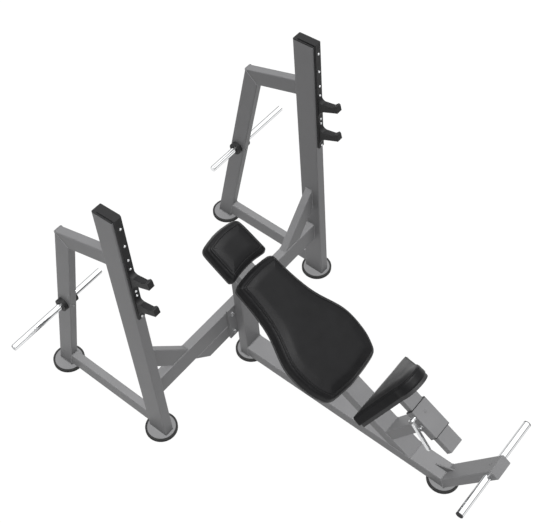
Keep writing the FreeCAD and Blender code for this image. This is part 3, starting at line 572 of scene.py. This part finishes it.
def cushion_mesh(node, axes, sizes, leaning):
    """Cushion in its own plan coordinates, with the outline that it was cut to."""
    turn = np.array([tuple(axis) for axis in axes])
    shape = merged_copy(node)
    for vertex in shape.verts:
        vertex.co = turn @ np.array(vertex.co)
    shape.normal_update()
    heights = [v.co.z for v in shape.verts]
    low, high = min(heights), max(heights)
    outline = plan_outline(shape, high, sizes.voxel / 2)
    mesh = bpy.data.meshes.new(node + "_cover")
    shape.to_mesh(mesh)
    shape.free()
    work = helper(node + "_cover", mesh)
    remesh = work.modifiers.new("even", "REMESH")
    remesh.mode = "VOXEL"
    remesh.voxel_size = sizes.voxel
    mesh = baked(work)
    set_points(mesh, rounded(points_of(mesh), outline, low, high, sizes, leaning))
    work = helper(node + "_cover", mesh)
    filled(work, low, sizes)
    finer = work.modifiers.new("finer", "SUBSURF")
    finer.levels = finer.render_levels = 1
    mesh = baked(work)
    points = points_of(mesh)
    points[:, 2] = np.maximum(points[:, 2], low)
    set_points(mesh, points)
    return mesh, outline, turn, low, high


def surface_of(mesh):
    """The mesh's faces, for finding points on them."""
    return BVHTree.FromPolygons([v.co for v in mesh.vertices], [tuple(p.vertices) for p in mesh.polygons])


def lifted(surface, spots, high, lift):
    """Plan positions raised to the cover's surface and a little above it."""
    raised = []
    for x, y in spots:
        hit = surface.ray_cast(Vector((x, y, high + DROP)), Vector((0, 0, -1)))
        raised.append((x, y, hit[0].z + lift))
    return np.array(raised)


def smooth_loop(points, passes):
    """Rounds a closed loop by averaging each point with its neighbours."""
    for _ in range(passes):
        points = 0.5 * points + 0.25 * (np.roll(points, 1, axis=0) + np.roll(points, -1, axis=0))
    return points


def sewn(mesh, path, sizes):
    """Pulls the cover in along a seam."""
    points = points_of(mesh)
    normals = np.empty(3 * len(points), np.float32)
    mesh.vertices.foreach_get("normal", normals)
    normals = normals.reshape(-1, 3)
    close = np.flatnonzero(nearest_on(path[:, :2], points[:, :2])[1] < SEAM_REACH * sizes.groove_width)
    which, gap = nearest_on(path, points[close])
    pull = sizes.groove * np.exp(-(gap / sizes.groove_width) ** 2)
    points[close] -= normals[close] * pull[:, None]
    set_points(mesh, points)


def make_cushion(name, tree):
    """Makes a cushion with its piping and its row of stitches, in place of its CAD node."""
    node, body, axes, leaning = CUSHIONS[name]
    sizes = bpy.context.scene.bench_upholstery
    mesh, outline, turn, low, high = cushion_mesh(node, axes, sizes, leaning)
    into = inward(outline, TURN_ROUNDS)
    inset = sizes.shrink + (sizes.lean + EDGE_SHARE * sizes.edge if leaning else CRISP_SHARE * sizes.crisp)
    seam_plan = smooth_loop(outline + into * inset, LINE_ROUNDS)
    seam = smooth_loop(lifted(surface_of(mesh), seam_plan, high, 0), LINE_ROUNDS)
    stitch_plan = smooth_loop(seam_plan + into * sizes.stitch_inset, LINE_ROUNDS)
    sewn(mesh, seam, sizes)
    thread = smooth_loop(lifted(surface_of(mesh), stitch_plan, high, sizes.stitch_radius / 2), THREAD_ROUNDS)
    welt = seam - np.array([0, 0, sizes.piping * PIPING_SINK])
    set_points(mesh, points_of(mesh) @ turn)
    cushion = piece(name + "_cushion", mesh, body, "black_vinyl")
    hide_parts(node)
    piece(name + "_piping", tube_along(name + "_piping", welt @ turn, sizes.piping), body, "black_vinyl")
    stitches = beads(name + "_stitches", [thread @ turn], tree, sizes.stitch, sizes.stitch * STITCH_SHARE,
                     sizes.stitch_radius, "black_vinyl")
    piece(name + "_stitches", stitches, body, "black_vinyl")


# Welds

def ring_ends(node):
    """Outer corner loops of a tube's cut ends, each the hull of a flat face with a hole in it."""
    shape = merged_copy(node)
    shape.normal_update()
    flats = {}
    for face in shape.faces:
        key = tuple(round(c, 2) for c in face.normal) + (round(face.normal.dot(face.verts[0].co), 3),)
        flats.setdefault(key, []).append(face)
    loops = []
    for faces in flats.values():
        area = sum(f.calc_area() for f in faces)
        normal = faces[0].normal.copy()
        side = normal.orthogonal().normalized()
        other = normal.cross(side)
        corners = {v.index: v.co.copy() for f in faces for v in f.verts}
        middle = sum(corners.values(), Vector()) / len(corners)
        flat = np.array([((c - middle).dot(side), (c - middle).dot(other)) for c in corners.values()])
        hull = convex_hull(flat)
        span = 0.5 * abs(sum(a[0] * b[1] - a[1] * b[0] for a, b in zip(hull, np.roll(hull, -1, axis=0))))
        lift = abs(middle.dot(normal) - faces[0].verts[0].co.dot(normal))
        if span > END_AREA and END_METAL[0] < area / span < END_METAL[1] and lift < END_FLATNESS:
            loops.append(np.array([middle + side * u + other * v for u, v in hull]))
    shape.free()
    return loops


def convex_hull(flat):
    """Corners of the convex hull of plane points, in order."""
    order = flat[np.lexsort((flat[:, 1], flat[:, 0]))]

    def half(points):
        chain = []
        for p in points:
            while len(chain) > 1 and np.cross(chain[-1] - chain[-2], p - chain[-1]) <= 0:
                chain.pop()
            chain.append(p)
        return chain[:-1]

    return np.array(half(order) + half(order[::-1]))


def away_from_caps(loop):
    """True if no end cap closes this end of the tube."""
    middle = Vector(loop.mean(axis=0))
    for cap in CLOSED_ENDS:
        low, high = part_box(cap)
        if all(low[k] - NEAR_CAP < middle[k] < high[k] + NEAR_CAP for k in range(3)):
            return False
    return True


def weld_loops():
    """Loops round every tube end that is welded."""
    names = [side + "_" + tube for side in ("left", "right") for tube in WELDED] + list(WELDED_MIDDLE)
    return [loop for name in names for loop in ring_ends(name) if away_from_caps(loop)]


# Operators

class BENCH_OT_finishes(bpy.types.Operator):
    """Give every frame piece the finish of its material slot"""
    bl_idname = "bench.finishes"
    bl_label = "Finish the Frame"

    def execute(self, context):
        for row in frame["record"]["subparts"]:
            node = frame["nodes"][row["node"]]
            node.data.materials.clear()
            node.data.materials.append(finish(row["material_slot"]))
        return {"FINISHED"}


class BENCH_OT_cushions(bpy.types.Operator):
    """Upholster the back, head and seat pads with piping and stitches"""
    bl_idname = "bench.cushions"
    bl_label = "Upholster the Pads"

    def execute(self, context):
        tree = bead_tree("stitch_row", 1)
        for name in CUSHIONS:
            make_cushion(name, tree)
        return {"FINISHED"}


class BENCH_OT_welds(bpy.types.Operator):
    """Lay rippled weld beads where the tubes meet"""
    bl_idname = "bench.welds"
    bl_label = "Weld the Tubes"

    def execute(self, context):
        sizes = context.scene.bench_welds
        mesh = beads("weld_beads", weld_loops(), bead_tree("weld_bead", 2), sizes.ripple,
                     sizes.ripple * RIPPLE_SHARE, sizes.radius, "grey_paint")
        piece("weld_beads", mesh, "frame", "grey_paint")
        return {"FINISHED"}


class BENCH_OT_stage(bpy.types.Operator):
    """Set up the floor, the lights and the camera"""
    bl_idname = "bench.stage"
    bl_label = "Set the Stage"

    def execute(self, context):
        stage = context.scene.bench_stage
        scene = context.scene
        scene.view_settings.view_transform = "Standard"
        middle = (CAD_LOW + CAD_HIGH) / 2
        view = Vector((math.sin(stage.turn) * math.cos(stage.dip), math.cos(stage.turn) * math.cos(stage.dip),
                       -math.sin(stage.dip)))
        camera = bpy.data.objects.new("camera", bpy.data.cameras.new("camera"))
        camera.data.lens = stage.lens
        camera.data.clip_end = 4 * stage.floor_half
        camera.location = middle + Vector(stage.aim) - view * stage.distance
        camera.rotation_mode = "QUATERNION"
        camera.rotation_quaternion = view.to_track_quat("-Z", "Y")
        scene.collection.objects.link(camera)
        scene.camera = camera
        self.light(scene, stage)
        self.floor(scene, stage)
        return {"FINISHED"}

    def light(self, scene, stage):
        """White backdrop, a reflected room with a bright ceiling over dim walls, and one shadowless soft light."""
        world = bpy.data.worlds.new("studio")
        world.use_nodes = True
        tree = world.node_tree
        sky = tree.nodes["Background"]
        sky.inputs["Color"].default_value = (1, 1, 1, 1)
        direction = add(tree, "ShaderNodeTexCoord").outputs["Generated"]
        height = add(tree, "ShaderNodeSeparateXYZ", {"Vector": direction}).outputs["Z"]
        room = add(tree, "ShaderNodeMapRange",
                   {"Value": height, "From Min": stage.wall_top, "From Max": stage.ceiling_edge,
                    "To Min": stage.walls, "To Max": stage.ceiling})
        ray = add(tree, "ShaderNodeLightPath").outputs
        lit = add(tree, "ShaderNodeMapRange", {"Value": ray["Is Glossy Ray"], "To Min": stage.ambient,
                                               "To Max": room.outputs["Result"]})
        strength = add(tree, "ShaderNodeMapRange", {"Value": ray["Is Camera Ray"], "To Min": lit.outputs["Result"],
                                                    "To Max": stage.backdrop})
        tree.links.new(strength.outputs["Result"], sky.inputs["Strength"])
        scene.world = world
        sun = bpy.data.lights.new("key", "SUN")
        sun.energy = stage.key
        sun.angle = stage.soft
        sun.use_shadow = False
        lamp = bpy.data.objects.new("key", sun)
        lamp.rotation_mode = "QUATERNION"
        lamp.rotation_quaternion = Vector(stage.lamp).to_track_quat("-Z", "Y")
        scene.collection.objects.link(lamp)

    def floor(self, scene, stage):
        """Pale seamless floor at the height of the feet."""
        half = stage.floor_half
        mesh = bpy.data.meshes.new("floor")
        corners = [(-half, -half), (half, -half), (half, half), (-half, half)]
        mesh.from_pydata([(x, y, CAD_LOW.z) for x, y in corners], [], [(0, 1, 2, 3)])
        pale, tree, surface, place = material("pale_floor", Roughness=0.9, Specular_IOR_Level=0.0)
        mottle(tree, surface, place, [stage.floor_tone] * 3, 0.8, 0.01, 0.9, 0.02)
        surface.inputs["Emission Color"].default_value = (1, 1, 1, 1)
        surface.inputs["Emission Strength"].default_value = stage.glow
        mesh.materials.append(pale)
        ground = bpy.data.objects.new("floor", mesh)
        scene.collection.objects.link(ground)


class BENCH_PT_panel(bpy.types.Panel):
    """Lists the steps in the order that they run"""
    bl_idname = "BENCH_PT_panel"
    bl_label = "Incline Bench"
    bl_space_type = "VIEW_3D"
    bl_region_type = "UI"
    bl_category = "Bench"

    def draw(self, context):
        for step in STEPS:
            self.layout.operator(step.bl_idname)


STEPS = (BENCH_OT_finishes, BENCH_OT_cushions, BENCH_OT_welds, BENCH_OT_stage)
SETTINGS = {
    "bench_finishes": BenchFinishes,
    "bench_upholstery": BenchUpholstery,
    "bench_welds": BenchWelds,
    "bench_stage": BenchStage,
}


def register():
    for kind in (*SETTINGS.values(), *STEPS, BENCH_PT_panel):
        bpy.utils.register_class(kind)
    for name, kind in SETTINGS.items():
        setattr(bpy.types.Scene, name, bpy.props.PointerProperty(type=kind))


def unregister():
    for name in SETTINGS:
        delattr(bpy.types.Scene, name)
    for kind in reversed((*SETTINGS.values(), *STEPS, BENCH_PT_panel)):
        bpy.utils.unregister_class(kind)


def main():
    register()
    for step in STEPS:
        area, action = step.bl_idname.split(".")
        getattr(getattr(bpy.ops, area), action)()


if __name__ == "__main__":
    main()
